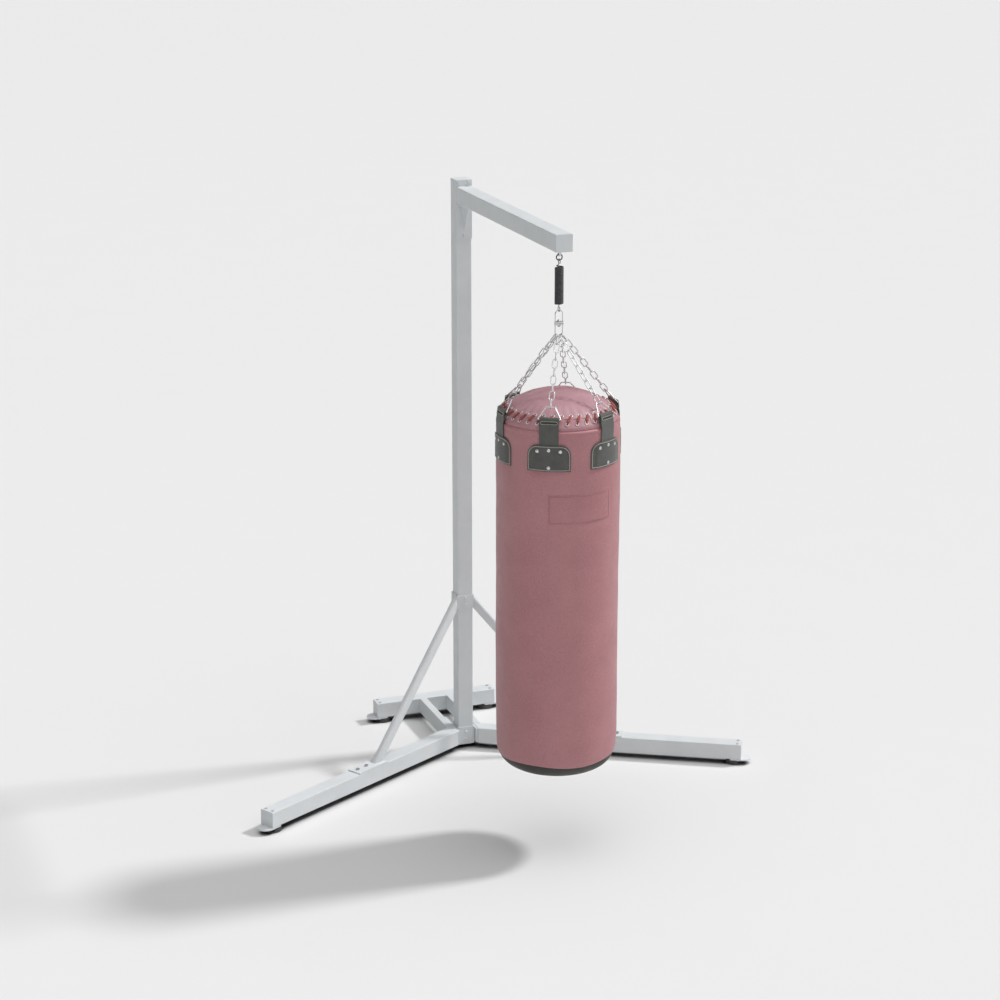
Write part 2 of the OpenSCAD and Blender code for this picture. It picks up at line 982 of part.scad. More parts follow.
module rivets() {
    color("silver")
        at_each_rivet() {
            translate([0, 0, patch_r0 - patch_r1 + 0.1])
                cylinder(r = rivet_r, h = patch_r1 - patch_r0 + 0.2, $fn = 24);
            rotate_extrude()
                intersection() {
                    dome_outline(4.8, 1.9);
                    square(6);
                }
        }
}

// the outline of a low dome of radius r and height h standing on Y = 0
module dome_outline(r, h) {
    ball = (r * r + h * h) / (2 * h);
    intersection() {
        translate([0, h - ball])
            circle(ball);
        translate([-r, 0])
            square([2 * r, h + 1]);
    }
}

// ---- bag ----

// side wall with the sloping flap that carries the outer eyelets
module bag_shell() {
    color("rosybrown") at_hang()
        rotate_extrude($fn = 96)
            polygon([[base_r, base_lip_z], [bag_r - 1.5, base_lip_z + 8],
                     [bag_r, base_lip_z + 24], [bag_r, rim_z],
                     [flap_in_r, flap_in_z], [flap_in_r, flap_in_z - shell_t],
                     [bag_r - shell_t, rim_z - shell_t], [bag_r - shell_t, base_lip_z + 24],
                     [bag_r - 1.5 - shell_t, base_lip_z + 8], [base_r - shell_t, base_lip_z]]);
}

// domed cover that is laced to the flap
module top_cover() {
    color("rosybrown") at_hang()
        rotate_extrude($fn = 96)
            intersection() {
                difference() {
                    translate([0, crest_z - cover_ball])
                        circle(cover_ball, $fn = 96);
                    translate([0, crest_z - cover_ball])
                        circle(cover_ball - cover_t, $fn = 96);
                }
                translate([0, crest_z - cover_rise])
                    square([cover_r, cover_rise + 1]);
            }
}

// the eyelet rows are staggered, so a lace run leans to one side
function flap_eyelet_angle(k) = 360 / eyelet_count * (k + 0.73);
function cover_eyelet_angle(k) = 360 / eyelet_count * (k + 1.25);

// the short lace runs from each flap eyelet to its cover eyelet
module lacing() {
    lace_r = 2;
    lift = 7.7;
    color("brown") at_hang()
        for (k = [0 : eyelet_count - 1]) {
            a = eyelet_out_r * out_dir(flap_eyelet_angle(k)) + [0, 0, eyelet_out_z + lift];
            b = eyelet_in_r * out_dir(cover_eyelet_angle(k)) + [0, 0, eyelet_in_z + lift];
            d = unit(b - a);
            n = square_to([0, 0, 1], d);
            basis(n, cross(d, n), d, a)
                cylinder(r = lace_r, h = norm(b - a), $fn = 24);
        }
}

// metal rings in the flap and in the cover
module eyelets() {
    tilt_out = atan2(flap_in_z - rim_z, bag_r - flap_in_r);
    tilt_in = asin(eyelet_in_r / cover_ball);
    on_cover = crest_z - cover_ball + sqrt(cover_ball * cover_ball - eyelet_in_r * eyelet_in_r);
    color("silver") at_hang()
        for (k = [0 : eyelet_count - 1]) {
            rotate([0, 0, flap_eyelet_angle(k) - 90])
                translate([eyelet_out_r, 0, eyelet_out_z])
                    rotate([0, tilt_out, 0])
                        torus(eyelet_r, eyelet_wire_r);
            rotate([0, 0, cover_eyelet_angle(k) - 90])
                translate([eyelet_in_r, 0, on_cover + (eyelet_wire_r + 0.1) / cos(tilt_in)])
                    rotate([0, tilt_in, 0])
                        torus(eyelet_r, eyelet_wire_r);
        }
}

// dark cup that closes the bag's bottom
module bag_base() {
    color("dimgray") at_hang()
        rotate_extrude($fn = 96)
            difference() {
                base_outline(base_cup_r, bag_z0, base_round, base_lip_z - eps);
                base_outline(base_cup_r - base_t, bag_z0 + base_t, base_round - base_t, base_lip_z + 1);
            }
}

// the cup's half section up to a height: flat below, with a round lower edge
module base_outline(r, z, round_r, top_z) {
    translate([0, z])
        square([r - round_r, top_z - z]);
    translate([0, z + round_r])
        square([r, top_z - z - round_r]);
    intersection() {
        translate([r - round_r, z + round_r])
            circle(round_r);
        translate([0, z])
            square([r, round_r]);
    }
}

// felt wrapped round the filling
module bag_liner() {
    color("gray") at_hang()
        rotate_extrude($fn = 96)
            polygon([[liner_r0, base_lip_z + 1], [base_r - shell_t - 1, base_lip_z + 1],
                     [liner_r1, base_lip_z + 26], [liner_r1, rim_z - 6], [liner_r0, rim_z - 6]]);
}

// pressed textile filling
module bag_fill() {
    color("darkgray") at_hang()
        rotate_extrude($fn = 96)
            base_outline(liner_r0 - 0.3, bag_z0 + base_t + fill_gap, fill_round, rim_z - 6);
}

// blank sewn-on panel
module label_panel() {
    color("rosybrown") at_hang()
        rotate([0, 0, -90 - 30])
            translate([0, 0, rim_z - 267])
                rotate_extrude(angle = 64, $fn = 96)
                    translate([bag_r + 0.2, 0])
                        square([0.8, 82]);
}

column();
column_cap();
arm_plate();
arm_tube();
arm_end_cap();
arm_gusset();
arm_plate_bolts();
hanger_lug();
brace_collar();
collar_back_plate();
collar_bolts();
brace_left();
brace_right();
brace_plate_left();
brace_plate_right();
brace_plate_bolts();
base_bracket();
base_bracket_bolts();
hub_plates();
leg_left();
leg_right();
rear_tube_left();
rear_tube_right();
rear_crossbar();
tube_end_caps();
foot_plates();
rubber_feet();
foot_bolts();
hanging_ring();
spring_top_hook();
spring_coil();
spring_bottom_hook();
swivel_upper_loop();
swivel_lower_loop();
swivel_bolt();
swivel_washer();
chain_1();
chain_2();
chain_3();
chain_4();
chain_5();
chain_6();
strap_rings();
strap_1();
strap_2();
strap_3();
strap_4();
strap_5();
strap_6();
strap_patches();
rivets();
bag_shell();
top_cover();
lacing();
eyelets();
bag_base();
bag_liner();
bag_fill();
label_panel();
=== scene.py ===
import math

import bmesh
import bpy
import numpy as np
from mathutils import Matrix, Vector, noise


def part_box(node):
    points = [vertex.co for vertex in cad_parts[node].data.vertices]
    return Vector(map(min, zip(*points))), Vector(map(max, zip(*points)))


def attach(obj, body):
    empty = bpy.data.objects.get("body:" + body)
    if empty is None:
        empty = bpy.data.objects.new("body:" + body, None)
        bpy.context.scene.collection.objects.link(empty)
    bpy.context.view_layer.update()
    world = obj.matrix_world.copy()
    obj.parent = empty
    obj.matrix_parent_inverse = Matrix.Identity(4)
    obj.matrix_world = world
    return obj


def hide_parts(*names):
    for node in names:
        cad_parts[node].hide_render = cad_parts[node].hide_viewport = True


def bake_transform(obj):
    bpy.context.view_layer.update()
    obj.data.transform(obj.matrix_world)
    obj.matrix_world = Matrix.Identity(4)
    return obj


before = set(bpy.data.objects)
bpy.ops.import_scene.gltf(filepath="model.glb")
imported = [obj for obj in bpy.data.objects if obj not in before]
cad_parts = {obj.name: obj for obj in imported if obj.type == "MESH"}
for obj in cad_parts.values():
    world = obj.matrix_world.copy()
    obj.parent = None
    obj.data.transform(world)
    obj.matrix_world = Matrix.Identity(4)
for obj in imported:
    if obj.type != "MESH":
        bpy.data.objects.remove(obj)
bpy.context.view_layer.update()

scene = bpy.context.scene

# ---- sizes, in metres, from the frame ----

SHELL_LOW, SHELL_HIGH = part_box("bag_shell")
HANG_Y = (SHELL_LOW.y + SHELL_HIGH.y) / 2
BAG_R = (SHELL_HIGH.x - SHELL_LOW.x) / 2
LIP_Z = SHELL_LOW.z
FLAP_TOP_Z = SHELL_HIGH.z
FLAP_RISE = 0.024
RIM_Z = FLAP_TOP_Z - FLAP_RISE
COVER_LOW, COVER_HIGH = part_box("top_cover")
CREST_Z = COVER_HIGH.z
COVER_R = (COVER_HIGH.x - COVER_LOW.x) / 2
COVER_RISE = CREST_Z - (RIM_Z + 0.0375) + 0.008
COVER_BALL = (COVER_R ** 2 + COVER_RISE ** 2) / (2 * COVER_RISE)
BASE_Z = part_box("bag_base")[0].z
BASE_R = BAG_R - 0.0045
BASE_T = 0.003
BASE_ROUND_W = 0.070
BASE_SEAM_R = 0.088
LEATHER_T = 0.0018
FLAP_T = LEATHER_T * 0.8

# the eyelets stand in two rows of (r, z), turned against each other by a part of their pitch
EYELETS = 36
EYELET_IN = (0.1450, RIM_Z + 0.0366)
EYELET_OUT = (0.163, RIM_Z + 0.0178)
EYELET_R = 0.0044
EYELET_WIRE = 0.0012
FLAP_LEAN, COVER_LEAN = 53, 33
FLAP_OFFSET, COVER_OFFSET = 0.73, 1.25
RIM_COLUMNS = EYELETS * 6
LACE_WIRE = 0.0019
LACE_SPREAD = 0.0018
TABBED_EYELET = 1
TAB_EDGES = (-4.0, 4.6)

STRAP_ANGLES = [30 + 60 * i for i in range(6)]
STRAP_W = 0.055
STRAP_T = 0.0026
STRAP_FOOT_Z = RIM_Z - 0.102
PATCH_W = 0.127
PATCH_LOW, PATCH_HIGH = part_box("strap_patches")
PATCH_Z0, PATCH_Z1 = PATCH_LOW.z, PATCH_HIGH.z
PATCH_CORNER = 0.030
PATCH_R = BAG_R + 0.005
PATCH_T = 0.0024
PATCH_BESIDE_R = BAG_R + 0.0027
RING_BAR_R = BAG_R - 0.007
RING_BAR_Z = RIM_Z + 0.034
RING_WIRE = 0.00175
SLOT_Z = RING_BAR_Z - 0.0090

LABEL_LOW, LABEL_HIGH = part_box("label_panel")
LABEL_ANGLES = (-30, 34)
LABEL_R = BAG_R + 0.0013
LABEL_T = 0.0011
LABEL_INSET = 0.0032

SPRING_LOW, SPRING_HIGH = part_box("spring_coil")
SPRING_R = (SPRING_HIGH.x - SPRING_LOW.x) / 2
SPRING_WIRE = 0.002
HOOK_R = 0.007
EYE_THIN = 0.55
COIL_TURNS = 26

CLOTH_FRAMES = 20


# ---- materials ----

FLOOR_COLOUR = (0.80, 0.80, 0.80, 1)
# painted shade on the floor under the tubes: its darkest colour, and how far the occlusion that paints it
# looks
GAP_SHADE_COLOUR = (0.02, 0.02, 0.02, 1)
GAP_SHADE_REACH = 0.055


def rgb(red, green, blue):
    """a linear colour from the 0 to 255 values of an ordinary colour picker"""
    def linear(c):
        c /= 255
        return c / 12.92 if c <= 0.04045 else ((c + 0.055) / 1.055) ** 2.4
    return (linear(red), linear(green), linear(blue), 1)


def darker(colour, part):
    """a linear colour brought down to a part of itself"""
    return [c * part for c in colour[:3]] + [1]


class Material:
    """a Principled material, with short calls that add its procedural nodes"""

    def __init__(self, name, constants=None):
        self.made = bpy.data.materials.new(name)
        self.made.use_nodes = True
        self.tree = self.made.node_tree
        self.shader = self.tree.nodes["Principled BSDF"]
        self.place = self.add("ShaderNodeTexCoord").outputs["Object"]
        self.normal = None
        for key, value in (constants or {}).items():
            self.shader.inputs[key].default_value = value

    def add(self, kind, inputs=None, **settings):
        node = self.tree.nodes.new(kind)
        for key, value in settings.items():
            setattr(node, key, value)
        for key, value in (inputs or {}).items():
            if isinstance(value, bpy.types.NodeSocket):
                self.tree.links.new(value, node.inputs[key])
            else:
                node.inputs[key].default_value = value
        return node

    def noise(self, scale, detail=3.0, roughness=0.5):
        inputs = {"Vector": self.place, "Scale": scale, "Detail": detail, "Roughness": roughness}
        return self.add("ShaderNodeTexNoise", inputs).outputs["Fac"]

    def cells(self, scale, feature="F1"):
        inputs = {"Vector": self.place, "Scale": scale}
        return self.add("ShaderNodeTexVoronoi", inputs, feature=feature).outputs["Distance"]

    def remap(self, value, low, high, from_low=0.3, from_high=0.7):
        inputs = {"Value": value, "From Min": from_low, "From Max": from_high,
                  "To Min": low, "To Max": high}
        return self.add("ShaderNodeMapRange", inputs).outputs["Result"]

    def mix(self, factor, a, b, blend="MIX"):
        node = self.add("ShaderNodeMix", data_type="RGBA", blend_type=blend)
        for key, value in (("Factor", factor), ("A", a), ("B", b)):
            socket = next(s for s in node.inputs
                          if s.name == key and (key == "Factor" or s.type == "RGBA"))
            if isinstance(value, bpy.types.NodeSocket):
                self.tree.links.new(value, socket)
            else:
                socket.default_value = value
        return next(s for s in node.outputs if s.type == "RGBA")

    def bump(self, height, distance, strength=1.0):
        inputs = {"Height": height, "Distance": distance, "Strength": strength}
        if self.normal:
            inputs["Normal"] = self.normal
        self.normal = self.add("ShaderNodeBump", inputs).outputs["Normal"]
        self.tree.links.new(self.normal, self.shader.inputs["Normal"])

    def set(self, name, socket):
        self.tree.links.new(socket, self.shader.inputs[name])


def leather(name, dark, light, grain=620.0, rough=(0.46, 0.62)):
    """synthetic leather: pebbled grain, soft blotches of colour and a duller bloom"""
    m = Material(name)
    blotches = m.noise(9.0, detail=4.0)
    speckle = m.noise(260.0, detail=2.0)
    colour = m.mix(m.remap(blotches, 0, 1, 0.32, 0.68), dark, light)
    shade = m.remap(speckle, 0.90, 1.07)
    grey = m.add("ShaderNodeCombineColor", {"Red": shade, "Green": shade, "Blue": shade}).outputs["Color"]
    m.set("Base Color", m.mix(1.0, colour, grey, "MULTIPLY"))
    m.set("Roughness", m.remap(m.noise(35.0), rough[0], rough[1]))
    m.bump(m.noise(28.0, detail=2.0), 0.0009, 0.35)
    m.bump(m.cells(grain, "SMOOTH_F1"), 0.00035, 0.55)
    m.bump(m.noise(grain * 2.2, detail=2.0), 0.0001, 0.4)
    return m.made


def powder_coat(name, colour):
    """pale baked paint: orange peel, faint mottling and a little dust"""
    m = Material(name, {"Specular IOR Level": 0.3})
    dust = m.noise(14.0, detail=5.0, roughness=0.6)
    m.set("Base Color", m.mix(m.remap(dust, 0, 1), colour, darker(colour, 0.93)))
    m.set("Roughness", m.remap(m.noise(60.0), 0.48, 0.6))
    m.bump(m.noise(420.0, detail=1.0), 0.00012, 0.5)
    return m.made


def zinc_plate(name, colour, metallic=0.7):
    """bright plated steel with a cloudy, finely brushed skin"""
    m = Material(name, {"Metallic": metallic})
    cloud = m.noise(180.0, detail=3.0)
    m.set("Base Color", m.mix(m.remap(cloud, 0, 1), colour, darker(colour, 0.82)))
    m.set("Roughness", m.remap(m.noise(340.0), 0.26, 0.42))
    m.bump(m.noise(900.0, detail=2.0), 0.00004, 0.5)
    return m.made


def black_steel(name):
    """oiled black spring steel, rubbed brighter in places"""
    m = Material(name, {"Metallic": 0.2})
    rub = m.noise(220.0, detail=4.0)
    m.set("Base Color", m.mix(m.remap(rub, 0, 1, 0.5, 0.8), rgb(72, 73, 75), rgb(100, 101, 104)))
    m.set("Roughness", m.remap(m.noise(90.0), 0.36, 0.52))
    m.bump(m.noise(700.0), 0.00004, 0.5)
    return m.made


def webbing(name, dark, light, pitch=0.0016):
    """dense coated canvas: a plain weave of warp and weft ribs"""
    m = Material(name, {"Sheen Weight": 0.25, "Sheen Roughness": 0.5})
    ribs = {"Vector": m.place, "Scale": 0.16 / pitch, "Distortion": 0.6, "Detail": 1.0}
    warp, weft = [m.add("ShaderNodeTexWave", ribs, bands_direction=way, wave_profile="SIN").outputs["Fac"]
                  for way in ("Z", "DIAGONAL")]
    weave = m.add("ShaderNodeMath", {0: warp, 1: weft}, operation="MULTIPLY").outputs[0]
    patchy = m.noise(45.0, detail=4.0)
    colour = m.mix(m.remap(patchy, 0, 1), dark, light)
    m.set("Base Color", m.mix(m.remap(weave, 0.0, 0.45, 0.0, 1.0), colour, light))
    m.set("Roughness", m.remap(patchy, 0.62, 0.8))
    m.bump(weave, 0.0003, 0.5)
    m.bump(m.noise(900.0), 0.0001, 0.5)
    return m.made


def thread(name, colour):
    """twisted sewing thread"""
    m = Material(name, {"Sheen Weight": 0.3})
    fibre = m.noise(1500.0, detail=3.0)
    m.set("Base Color", m.mix(m.remap(fibre, 0, 1), darker(colour, 0.75), colour))
    m.set("Roughness", m.remap(fibre, 0.6, 0.85))
    m.bump(fibre, 0.0002, 0.6)
    return m.made


def lace_cord(name):
    """round waxed lace with braided strands"""
    m = Material(name, {"Sheen Weight": 0.3})
    braid = m.cells(520.0)
    m.set("Base Color", m.mix(m.remap(braid, 0, 1, 0.1, 0.6), rgb(194, 96, 82), rgb(150, 64, 54)))
    m.set("Roughness", m.remap(m.noise(200.0), 0.5, 0.7))
    m.bump(braid, 0.0005, 0.7)
    return m.made


def rubber(name):
    """dull black rubber with worn, greyer patches"""
    m = Material(name)
    worn = m.noise(70.0, detail=5.0)
    m.set("Base Color", m.mix(m.remap(worn, 0, 1), rgb(58, 58, 59), rgb(84, 84, 84)))
    m.set("Roughness", m.remap(worn, 0.62, 0.85))
    m.bump(m.noise(800.0), 0.0001, 0.6)
    return m.made


def fibre_fill(name, dark, light):
    """loose fibres, lighter on the tufts"""
    m = Material(name)
    tuft = m.noise(160.0, detail=6.0, roughness=0.7)
    m.set("Base Color", m.mix(m.remap(tuft, 0, 1), dark, light))
    m.set("Roughness", m.remap(tuft, 0.85, 1.0))
    m.bump(tuft, 0.002, 0.7)
    return m.made


def floor_paint(name):
    """pale floor with painted shade: an ambient occlusion mask takes its colour nearly to black in the
    narrow gap under the tubes
    """
    m = Material(name, {"Specular IOR Level": 0.15})
    colour = m.mix(m.remap(m.noise(3.0), 0, 1), FLOOR_COLOUR, darker(FLOOR_COLOUR, 0.995))
    # painted shade: ambient occlusion darkens the floor's colour towards the gap colour where the tubes hang
    # low over it
    gap_shade_mask = m.add("ShaderNodeAmbientOcclusion", {"Distance": GAP_SHADE_REACH}, samples=12).outputs["AO"]
    m.set("Base Color", m.mix(m.remap(gap_shade_mask, 0, 1, 0.26, 0.62), GAP_SHADE_COLOUR, colour))
    m.set("Roughness", m.remap(m.noise(5.0), 0.85, 0.9))
    return m.made


PAINT = powder_coat("pale_paint", rgb(224, 228, 230))
WHITE_PAINT = powder_coat("white_paint", rgb(226, 229, 231))
ZINC = zinc_plate("zinc", rgb(232, 233, 235))
BRIGHT_METAL = zinc_plate("bright_metal", rgb(238, 238, 238), metallic=0.35)
DARK_METAL = zinc_plate("dark_metal", rgb(188, 191, 196), metallic=0.5)
SPRING_STEEL = black_steel("spring_steel")
BOLT_PAINT = powder_coat("bolt_paint", rgb(198, 202, 205))
BAG_SKIN = leather("bag_leather", rgb(177, 122, 127), rgb(185, 130, 134), rough=(0.42, 0.56))
# painted light: the cover's and the flap's leathers are the side's leather made paler and greyer, standing
# in for the sheen and brighter light on these up-facing skins
COVER_SKIN_LIT = leather("cover_leather_painted_sheen", rgb(182, 138, 146), rgb(195, 151, 159), rough=(0.36, 0.50))
FLAP_SKIN_LIT = leather("flap_leather_painted_light", rgb(177, 128, 135), rgb(188, 139, 146), rough=(0.38, 0.52))
LABEL_SKIN = leather("label_leather", rgb(175, 119, 124), rgb(183, 127, 132), grain=800.0)
BASE_SKIN = leather("base_leather", rgb(52, 51, 47), rgb(66, 64, 60), grain=500.0)
CANVAS = webbing("strap_canvas", rgb(76, 77, 74), rgb(95, 96, 92))
PATCH_CANVAS = webbing("patch_canvas", rgb(73, 73, 70), rgb(92, 91, 88), pitch=0.0022)
GREY_THREAD = thread("grey_thread", rgb(176, 176, 167))
PINK_THREAD = thread("pink_thread", rgb(160, 110, 114))
LACE = lace_cord("lace_cord")
RUBBER = rubber("foot_rubber")
FELT = fibre_fill("grey_felt", rgb(118, 118, 114), rgb(150, 149, 143))
RAGS = fibre_fill("textile_fill", rgb(120, 116, 110), rgb(158, 152, 143))


# ---- mesh helpers ----

def polar(angle, r, z):
    """a point round the hanging axis; 0 degrees is straight ahead and 90 is the right"""
    a = math.radians(angle)
    return Vector((r * math.sin(a), HANG_Y - r * math.cos(a), z))


def angle_of(p):
    """the angle that polar would take for a point"""
    return math.degrees(math.atan2(p.x, HANG_Y - p.y))


def reach(p):
    """how far a point is from the hanging axis"""
    return math.hypot(p.x, p.y - HANG_Y)


def outward(p):
    """the level direction from the hanging axis to a point"""
    return Vector((p.x, p.y - HANG_Y, 0)).normalized()


def sideways(angle):
    """the level direction along a tangent at an angle round the hanging axis"""
    a = math.radians(angle)
    return Vector((math.cos(a), math.sin(a), 0))


def box_corners(left, low, right, high):
    """a rectangle's four corners, in turn"""
    return [(left, low), (right, low), (right, high), (left, high)]


def joined(parts):
    """several (verts, faces) as one"""
    verts, faces = [], []
    for part_verts, part_faces in parts:
        start = len(verts)
        verts += part_verts
        faces += [[start + i for i in face] for face in part_faces]
    return verts, faces


def way_along(line, k):
    """the direction of a line of points at its point k"""
    return (line[min(k + 1, len(line) - 1)] - line[max(k - 1, 0)]).normalized()


def sweep(path, section, closed=False, sizes=None):
    """a bar along a path: section is a list of (across, up) offsets, sizes scales it at each point"""
    n, m = len(path), len(section)

    def tangent(i):
        if closed:
            return (path[(i + 1) % n] - path[(i - 1) % n]).normalized()
        return way_along(path, i)
    normal = tangent(0).orthogonal().normalized()
    normals = []
    for i in range(n):
        t = tangent(i)
        normal = (normal - normal.dot(t) * t).normalized()
        normals.append(normal)
    twist = 0.0
    if closed:
        t = tangent(0)
        last = (normal - normal.dot(t) * t).normalized()
        twist = math.atan2(last.cross(normals[0]).dot(t), last.dot(normals[0]))
    verts = []
    for i in range(n):
        t = tangent(i)
        a = twist * i / n
        across = normals[i] * math.cos(a) + t.cross(normals[i]) * math.sin(a)
        up = t.cross(across)
        size = sizes[i] if sizes else 1.0
        verts += [path[i] + size * (x * across + y * up) for x, y in section]
    faces = []
    for i in range(n if closed else n - 1):
        for k in range(m):
            a, b = i * m, (i + 1) % n * m
            faces.append([a + k, b + k, b + (k + 1) % m, a + (k + 1) % m])
    if not closed:
        faces.append(list(range(m))[::-1])
        faces.append([(n - 1) * m + k for k in range(m)])
    return verts, faces


def ring_section(r, sides=10, flat=1.0):
    """a round or flattened section for sweep"""
    return [(r * math.cos(a), flat * r * math.sin(a))
            for a in (2 * math.pi * k / sides for k in range(sides))]


def lathe(profile, segments):
    """profile points (r, z) turned round the hanging axis"""
    n = len(profile)
    verts = [polar(360 * s / segments, r, z) for s in range(segments) for r, z in profile]
    faces = []
    for s in range(segments):
        a, b = s * n, (s + 1) % segments * n
        faces += [[a + k, b + k, b + k + 1, a + k + 1] for k in range(n - 1)]
    return verts, faces


def slab(outer, inner, columns, rows):
    """a closed sheet between two surfaces, each a function of u and v from 0 to 1"""
    steps = [(c / columns, r / rows) for r in range(rows + 1) for c in range(columns + 1)]
    verts = [outer(u, v) for u, v in steps] + [inner(u, v) for u, v in steps]
    wide, half = columns + 1, len(steps)
    faces = []
    for r in range(rows):
        for c in range(columns):
            a = r * wide + c
            quad = [a, a + 1, a + wide + 1, a + wide]
            faces += [quad, [half + i for i in quad][::-1]]
    border = ([(0, c) for c in range(columns)] + [(r, columns) for r in range(rows)]
              + [(rows, c) for c in range(columns, 0, -1)] + [(r, 0) for r in range(rows, 0, -1)])
    loop = [r * wide + c for r, c in border]
    for a, b in zip(loop, loop[1:] + loop[:1]):
        faces.append([b, a, half + a, half + b])
    return verts, faces


def round_edges(obj, width, degrees):
    """bevels the edges that are sharper than an angle"""
    rounding = obj.modifiers.new("rounding", "BEVEL")
    rounding.width, rounding.segments, rounding.angle_limit = width, 2, math.radians(degrees)


def thicken(obj, thickness):
    """makes a skin solid, on its inner side"""
    thick = obj.modifiers.new("leather", "SOLIDIFY")
    thick.thickness, thick.offset = thickness, -1


def piece(name, shape, material, body, replaces=(), sharp=50, bevel=0.0):
    """a mesh that rides on a body, takes a finish and stands for CAD nodes"""
    mesh = bpy.data.meshes.new(name)
    mesh.from_pydata([tuple(v) for v in shape[0]], [], shape[1])
    made = bmesh.new()
    made.from_mesh(mesh)
    bmesh.ops.recalc_face_normals(made, faces=made.faces)
    made.to_mesh(mesh)
    made.free()
    mesh.shade_smooth()
    mesh.set_sharp_from_angle(angle=math.radians(sharp))
    mesh.materials.append(material)
    obj = bpy.data.objects.new(name, mesh)
    scene.collection.objects.link(obj)
    if bevel:
        round_edges(obj, bevel, 50)
    if body:
        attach(obj, body)
    if replaces:
        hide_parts(*replaces)
    return obj


def smooth(x, low, high):
    """0 below low, 1 above high, and a soft step between"""
    t = min(max((x - low) / (high - low), 0.0), 1.0)
    return t * t * (3 - 2 * t)


def angle_gap(a, b):
    """how far apart two angles are, the short way round"""
    return abs((a - b + 180) % 360 - 180)


def settle(obj, held, pressure, cap):
    """swells a cloth skin from inside, held where held(vertex place) is near 1, moving at most cap"""
    rest = np.array([v.co for v in obj.data.vertices])
    group = obj.vertex_groups.new(name="held")
    for v in obj.data.vertices:
        group.add([v.index], held(v.co), "REPLACE")
    cloth = obj.modifiers.new("Cloth", "CLOTH")
    cloth.point_cache.frame_start, cloth.point_cache.frame_end = 1, CLOTH_FRAMES
    cloth.collision_settings.use_collision = False
    settings = cloth.settings
    settings.vertex_group_mass = "held"
    settings.quality = 6
    settings.mass = 0.4
    settings.tension_stiffness = settings.compression_stiffness = 22
    settings.shear_stiffness = 8
    settings.bending_stiffness = 2.0
    settings.use_pressure = True
    settings.uniform_pressure_force = pressure
    settings.effector_weights.gravity = 0
    for number in range(CLOTH_FRAMES):
        scene.frame_set(number + 1)
    swollen = obj.evaluated_get(bpy.context.evaluated_depsgraph_get())
    places = np.array([v.co for v in swollen.data.vertices])
    step = places - rest
    length = np.linalg.norm(step, axis=1, keepdims=True)
    places = rest + step * np.minimum(1.0, cap / np.maximum(length, 1e-9))
    obj.modifiers.remove(cloth)
    obj.vertex_groups.remove(group)
    obj.data.vertices.foreach_set("co", places.astype(np.float32).ravel())
    obj.data.update()
    scene.frame_set(1)


# ---- the bag's skins ----

def fastened(angle, z):
    """1 where a strap, a patch or the label holds the side flat, 0 where it is free"""
    hold = 0.0
    for a in STRAP_ANGLES:
        across = math.radians(angle_gap(angle, a)) * BAG_R
        patch = (1 - smooth(across, 0.055, 0.075)) * smooth(z, PATCH_Z0 - 0.02, PATCH_Z0)
        patch *= 1 - smooth(z, PATCH_Z1, PATCH_Z1 + 0.015)
        strap = (1 - smooth(across, 0.026, 0.036)) * smooth(z, PATCH_Z0, PATCH_Z0 + 0.01)
        hold = max(hold, patch, strap)
    middle = sum(LABEL_ANGLES) / 2
    half = (LABEL_ANGLES[1] - LABEL_ANGLES[0]) / 2
    label = 1 - smooth(angle_gap(angle, middle), half, half + 8)
    label *= smooth(z, LABEL_LOW.z - 0.03, LABEL_LOW.z)
    return max(hold, label * (1 - smooth(z, LABEL_HIGH.z, LABEL_HIGH.z + 0.03)))


def side_cover():
    """the long side: a wavy hem round the base, a slightly uneven tube and a welt under the flap"""
    columns, row, tuck = 144, 0.0085, 0.024
    hem = [(BASE_R - 0.0018, LIP_Z + 0.006), (BASE_R - 0.0006, LIP_Z + 0.002), (BASE_R + 0.0006, LIP_Z),
           (BASE_R + 0.0016, LIP_Z + 0.0010)]
    hem += [(BAG_R - 0.0034 * (1 - t) ** 2, LIP_Z + tuck * t) for t in (0.15, 0.35, 0.6, 0.8, 1.0)]
    low, top, crease_z = LIP_Z + tuck, RIM_Z - 0.013, RIM_Z - 0.005
    count = round((top - low) / row)
    tube = [(BAG_R, low + (top - low) * k / count) for k in range(1, count + 1)]
    welt = [(BAG_R + out, crease_z + up) for out, up in
            ((0.0007, -0.0055), (0.0011, -0.0030), (0.0006, -0.0005), (-0.0010, 0.0017), (-0.0034, 0.0036),
             (-0.0058, 0.0042), (-0.0074, 0.0025), (-0.0080, -0.0020))]
    verts, faces = lathe(hem + tube + welt, columns)
    for p in verts:
        free = (1 - fastened(angle_of(p), p.z)) * smooth(p.z, LIP_Z + 0.01, LIP_Z + 0.08)
        free *= 1 - smooth(p.z, RIM_Z - 0.03, RIM_Z - 0.008)
        wave = noise.noise(Vector((p.x * 5, p.y * 5, p.z * 4.2))) + 0.5 * noise.noise(p * 11)
        p += outward(p) * ((0.0020 + 0.0018 * wave) * free)
        hem_wave = math.cos(math.radians(4 * (angle_of(p) + 45)))
        p.z += 0.0026 * hem_wave * (1 - smooth(p.z, LIP_Z, LIP_Z + 0.05))
    obj = piece("bag_side", (verts, faces), BAG_SKIN, "bag", ["bag_shell"], sharp=80)

    def held(p):
        inside = smooth(p.z, LIP_Z + 0.004, LIP_Z + 0.05) * (1 - smooth(p.z, RIM_Z - 0.03, RIM_Z - 0.008))
        return max(1 - inside, fastened(angle_of(p), p.z), 0.02)
    settle(obj, held, 1.6, 0.0018)
    thicken(obj, LEATHER_T)
    finer = obj.modifiers.new("finer", "SUBSURF")
    finer.levels = finer.render_levels = 1
    return obj


def cover_z(r):
    """the height of the domed cover at a distance from the axis"""
    return CREST_Z - COVER_BALL + math.sqrt(max(COVER_BALL ** 2 - r * r, 0))


